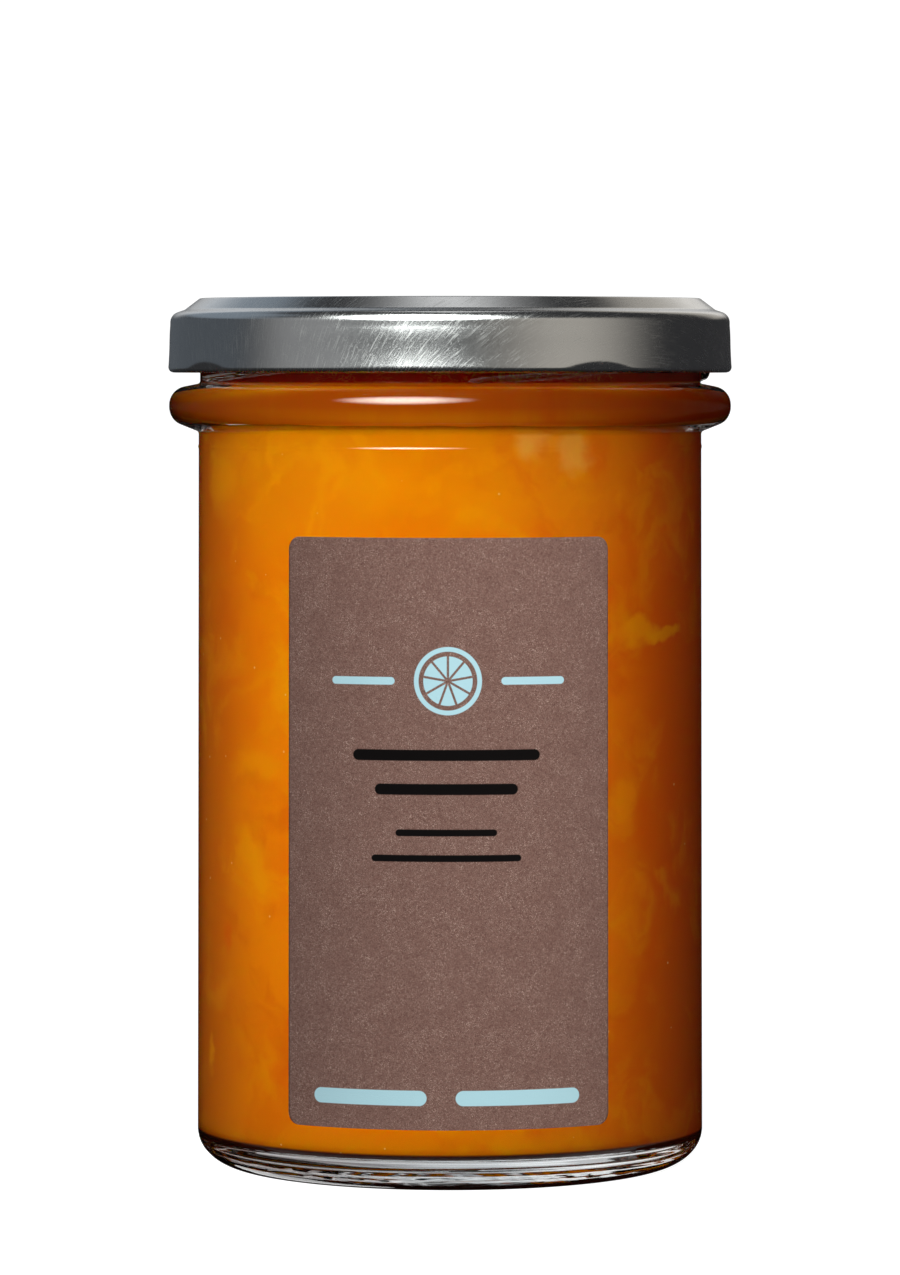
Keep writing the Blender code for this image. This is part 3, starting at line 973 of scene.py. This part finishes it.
# Print on the label, from the label's middle: a fruit slice by centre and radius, and bars by
# centre, half width and half height
INK_DARK = colour(0.006, 0.005, 0.005)
INK_PALE = colour(0.52, 0.82, 0.90)
PRINT_EDGE = 0.04
RIND = 0.55
WEDGES = 9
EMBLEM = (0.0, 18.0, 4.0)
PALE_BARS = [
    (-10.2, 18.0, 3.9, 0.45),
    (10.2, 18.0, 3.9, 0.45),
    (-9.5, -31.0, 7.0, 0.9),
    (8.5, -31.0, 7.6, 0.9),
]
DARK_BARS = [
    (-0.2, 9.3, 11.2, 0.65),
    (-0.2, 5.3, 8.5, 0.65),
    (-0.2, 0.2, 6.0, 0.4),
    (-0.2, -2.8, 8.9, 0.4),
]


def label_finish():
    """Brown paper with a pearly grain, printed with a citrus slice and bars."""
    finish = Finish("pearly_brown_paper", Roughness=0.6, Specular_IOR_Level=0.15)
    flat = finish.node("ShaderNodeUVMap", {"uv_map": "print"})
    grain = finish.noise(flat, scale=4.5, detail=3.0, roughness=0.7, distortion=1.5)
    paper = finish.blend(grain.ramp(*GRAIN_RANGE), PAPER_DARK, PAPER_PALE)
    patches = finish.noise(flat, scale=0.35, detail=3.0).ramp(*PATCH_RANGE)
    threads = finish.noise(flat, scale=5.5, detail=1.0, distortion=2.5)
    pearl = threads.ramp(*THREAD_RANGE) * (THREADS_LEAST + patches * THREADS_IN_PATCHES)
    paper = finish.blend(pearl, paper, PAPER_PEARL)
    across, along, _ = finish.parts(flat)

    def bar(centre_x, centre_z, half_width, half_height):
        """1 inside a bar with round ends, from its distance to the line down its middle."""
        reach = (abs(across - centre_x) - (half_width - half_height)).at_least(0.0)
        drop = along - centre_z
        distance = (reach * reach + drop * drop).root()
        return distance.ramp(half_height + PRINT_EDGE, half_height - PRINT_EDGE)

    def slice_of_fruit(centre_x, centre_z, radius):
        """1 on a thin rind and on the wedges inside it, which dark spokes divide."""
        x = across - centre_x
        z = along - centre_z
        distance = (x * x + z * z).root()
        off_rind = abs(distance - (radius - RIND / 2))
        rind = off_rind.ramp(RIND / 2 + PRINT_EDGE, RIND / 2 - PRINT_EDGE)
        turn = x.math("ARCTAN2", x, z)
        turn = turn.math("PINGPONG", turn, math.pi / WEDGES)
        off_spoke = turn.math("SINE", turn) * distance
        flesh = radius - 2 * RIND
        wedges = distance.ramp(flesh + PRINT_EDGE, flesh - PRINT_EDGE)
        wedges = wedges * off_spoke.ramp(RIND / 4 - PRINT_EDGE, RIND / 4 + PRINT_EDGE)
        return rind.at_least(wedges)

    def with_bars(inside, bars):
        """1 where it was 1 already, and inside any of the bars."""
        for sizes in bars:
            inside = inside.at_least(bar(*sizes))
        return inside

    dark = with_bars(bar(*DARK_BARS[0]), DARK_BARS[1:])
    pale = with_bars(slice_of_fruit(*EMBLEM), PALE_BARS)
    paper = finish.blend(dark, paper, INK_DARK)
    finish.paint("Base Color", finish.blend(pale, paper, INK_PALE))
    finish.bump(grain + threads * THREAD_BUMP, PAPER_HEIGHT)
    return finish.material


# The floor and backdrop, and the distances from the jar between which the floor grows dimmer with
# painted shade
STAGE_RADIUS = 2600.0
STAGE_HEIGHT = 3000.0
STAGE_ROUND = 900.0
STAGE_COLUMNS = 96
STAGE_GREY = colour(0.3, 0.3, 0.3)
STAGE_GLOW = colour(1.0, 1.0, 1.0)
STAGE_GLOW_SHADED = colour(0.92, 0.92, 0.92)
STAGE_SHADE_RANGE = (400.0, 60.0)


def make_stage():
    """A pale floor that sweeps up all round into a plain backdrop, with painted shade a little dimmer
    by the jar.

    It glows by itself, and only the camera and rays through the glass see it.
    """
    radii, heights = outline([
        (0.0, 0.0, 0.0, 100.0),
        (STAGE_RADIUS, 0.0, STAGE_ROUND, 500.0),
        (STAGE_RADIUS, STAGE_HEIGHT, 0.0, 500.0),
    ])
    points = round_grid(radii[::-1], heights[::-1], all_round(STAGE_COLUMNS))
    floor, _ = skin("floor", points, poles=(False, True))
    finish = Finish("pale_floor", Base_Color=STAGE_GREY, Roughness=0.9, Emission_Strength=1.0)
    distance = finish.vector("LENGTH", finish.place())
    # Painted shade: the glow is a little dimmer near the jar
    shade_near_jar = Number(finish.tree, distance).soft_ramp(*STAGE_SHADE_RANGE)
    finish.paint("Emission Color", finish.blend(shade_near_jar, STAGE_GLOW, STAGE_GLOW_SHADED))
    finish.material.cycles.emission_sampling = "NONE"
    floor.data.materials.append(finish.material)
    floor.visible_diffuse = False
    floor.visible_glossy = False
    floor.visible_shadow = False
    return floor


# The dark studio, and its walls: each a patch of the sky by azimuth, half width, the softness of
# its sides, and its lowest and highest elevation, all in degrees, then by brightness and colour
COOL = (0.8, 0.97, 1.15)
WARM = (1.08, 1.0, 0.88)
DARK_STUDIO = (0.035, 0.035, 0.037)
WALLS_IN_GLASS = 0.03
WALL_EDGE = 4.0
WALLS = [
    (-130.0, 40.0, 12.0, -8.0, 14.0, 0.075, COOL),
    (-130.0, 40.0, 20.0, 18.0, 50.0, 0.28, COOL),
    (-60.0, 22.0, 16.0, -8.0, 30.0, 0.28, WHITE),
    (50.0, 26.0, 24.0, -8.0, 30.0, 0.46, WARM),
    (180.0, 22.0, 6.0, 9.0, 36.0, 0.5, WHITE),
    (155.0, 14.0, 8.0, 10.0, 48.0, 0.45, WARM),
    (180.0, 24.0, 16.0, 63.0, 100.0, 0.95, WHITE),
]
DEGREES = 180.0 / math.pi


def make_world():
    """The dark studio and its soft pale walls, which the lid and the glass mirror.

    Smooth glass mirrors them at only WALLS_IN_GLASS of their strength.
    """
    world = bpy.data.worlds.new("studio")
    world.use_nodes = True
    bpy.context.scene.world = world
    sky = Nodes(world.node_tree)
    x, y, z = sky.parts(sky.node("ShaderNodeTexCoord", output="Generated"))
    azimuth = x.math("ARCTAN2", x, y * -1.0) * DEGREES
    elevation = z.math("ARCSINE", z) * DEGREES
    smooth = sky.number("ShaderNodeLightPath", output="Is Singular Ray")
    strength = 1.0 - smooth * (1.0 - WALLS_IN_GLASS)
    total = sky.vector("SCALE", DARK_STUDIO, Scale=strength)
    for centre, half_width, softness, low, high, brightness, tint in WALLS:
        aside = abs(x.math("WRAP", azimuth - centre, -180.0, 180.0))
        patch = aside.soft_ramp(half_width + softness, half_width - softness)
        patch = patch * elevation.soft_ramp(low - WALL_EDGE, low + WALL_EDGE)
        patch = patch * elevation.soft_ramp(high + WALL_EDGE, high - WALL_EDGE) * strength
        shown = tuple(part * brightness for part in tint)
        total = sky.vector("ADD", total, sky.vector("SCALE", shown, Scale=patch))
    sky.fill(world.node_tree.nodes["Background"].inputs["Color"], total)


def fade_edges(lamp):
    """Lets a lamp's light fade smoothly from its middle to its rim, as through a diffusing cloth."""
    lamp.use_nodes = True
    cloth = Nodes(lamp.node_tree)
    place = cloth.node("ShaderNodeNewGeometry", output="Parametric")
    from_middle = cloth.vector("LENGTH", cloth.vector("SUBTRACT", place, (0.5, 0.5, 0.0)))
    strength = Number(cloth.tree, from_middle).soft_ramp(0.5, 0.1)
    cloth.fill(lamp.node_tree.nodes["Emission"].inputs["Strength"], strength)


def softbox(name, azimuth, elevation, distance, size, radiance, tint, seen_by, lit):
    """An elliptic lamp that faces the jar's middle, seen by some kinds of ray.

    It lights only the pieces in lit. The radiance is what a mirror would show of it, so its energy
    is that times pi times the ellipse's area.
    """
    lamp = bpy.data.lights.new(name, "AREA")
    lamp.shape = "ELLIPSE"
    lamp.size, lamp.size_y = size
    lamp.energy = radiance * math.pi * math.pi / 4 * size[0] * size[1]
    lamp.color = tint
    holder = bpy.data.objects.new(name, lamp)
    bpy.context.scene.collection.objects.link(holder)
    a, e = math.radians(azimuth), math.radians(elevation)
    middle = np.array([0.0, 0.0, LID_TOP_Z / 2 * MM])
    away = np.array([math.sin(a) * math.cos(e), -math.cos(a) * math.cos(e), math.sin(e)])
    holder.location = middle + away * distance
    holder.rotation_euler = (math.pi / 2 - e, 0.0, a)
    holder.visible_camera = False
    holder.visible_diffuse = "diffuse" in seen_by
    holder.visible_glossy = "glossy" in seen_by
    holder.visible_transmission = "through" in seen_by
    receivers = bpy.data.collections.new(name + "_lights_these")
    for piece in lit:
        receivers.objects.link(piece)
    holder.light_linking.receiver_collection = receivers
    return lamp


# Lamps by name, azimuth and elevation in degrees, distance and size in metres, radiance, colour,
# the kinds of ray that see them, and the pieces that they light
PALE_GOLD = (1.0, 0.98, 0.95)
GOLD = (1.0, 0.90, 0.76)
FAINT_GREEN = (0.97, 1.0, 0.97)
RED_GLOW = (1.0, 0.4, 0.15)
LAMPS = [
    ("key", -19, 38, 0.95, (1.0, 0.9), 6.2, PALE_GOLD, "diffuse through", "marmalade floor"),
    ("key_on_label", 8, 42, 0.6, (0.63, 0.57), 5.3, WHITE, "diffuse", "label"),
    ("key_in_glass", -21, 38, 0.95, (1.0, 1.0), 23.0, GOLD, "glossy", "glass"),
    ("glint_from_right", 160, 45, 1.0, (0.3, 0.3), 3.0, WHITE, "glossy", "glass"),
    ("glint_from_table", -166, -35, 1.0, (0.3, 0.3), 1.5, WHITE, "glossy", "glass"),
    ("key_on_lid", -14, 38, 0.95, (1.0, 0.9), 6.8, FAINT_GREEN, "glossy", "lid"),
    ("red_fill", 75, 20, 1.2, (0.9, 0.9), 0.9, RED_GLOW, "diffuse", "marmalade"),
    ("table_glow", 0, -60, 0.6, (0.8, 0.8), 0.5, PALE_GOLD, "diffuse", "marmalade"),
    ("back_fill", 180, 35, 1.0, (1.0, 0.9), 2.5, WHITE, "diffuse", "marmalade label"),
]


def make_lights(pieces):
    """A large softbox high at the front, and weak fills.

    As where a photographer joins several exposures, the glass, the lid, the label and the
    marmalade each have a softbox of their own, of its own strength.
    """
    make_world()
    lamps = {}
    for name, *settings, lit in LAMPS:
        lamps[name] = softbox(name, *settings, [pieces[piece] for piece in lit.split()])
    fade_edges(lamps["key_in_glass"])


def make_camera():
    """The photograph's view: a long lens, with the row of the horizon above the frame's middle."""
    middle_row = PHOTO_HEIGHT / 2
    focal_rows = CAMERA_DISTANCE / PIXEL_SIZE
    pitch = math.atan((middle_row - HORIZON_ROW) / focal_rows)
    data = bpy.data.cameras.new("camera")
    data.sensor_width = SENSOR
    data.lens = focal_rows * SENSOR / PHOTO_HEIGHT
    data.clip_start = 0.01
    data.clip_end = 20.0
    camera = bpy.data.objects.new("camera", data)
    bpy.context.scene.collection.objects.link(camera)
    camera.location = (0.0, -CAMERA_DISTANCE * MM, CAMERA_HEIGHT * MM)
    camera.rotation_euler = (math.pi / 2 - pitch, 0.0, 0.0)
    bpy.context.scene.camera = camera


def finish_piece(piece, material, node):
    """Gives a piece its material and lets it stand for its CAD node."""
    piece.data.materials.append(material)
    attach(piece, "root")
    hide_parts(node)


glass = make_glass()
finish_piece(glass, glass_finish(), "glass_jar")
marmalade = make_marmalade()
finish_piece(marmalade, marmalade_finish(), "marmalade")
lid = make_lid()
finish_piece(lid, tinplate_finish(), "lid")
label = make_label()
finish_piece(label, label_finish(), "label")

# The lamps' light goes through the glass and the thin label as if they were not in its way
glass.visible_shadow = False
label.visible_shadow = False
pieces = {"glass": glass, "marmalade": marmalade, "lid": lid, "label": label}
pieces["floor"] = make_stage()
make_lights(pieces)
make_camera()

# Caustics are noise here, and light crosses many faces of glass
scene = bpy.context.scene
scene.view_settings.view_transform = "Standard"
scene.cycles.caustics_refractive = False
scene.cycles.caustics_reflective = False
scene.cycles.max_bounces = 24
scene.cycles.glossy_bounces = 12
scene.cycles.transmission_bounces = 16
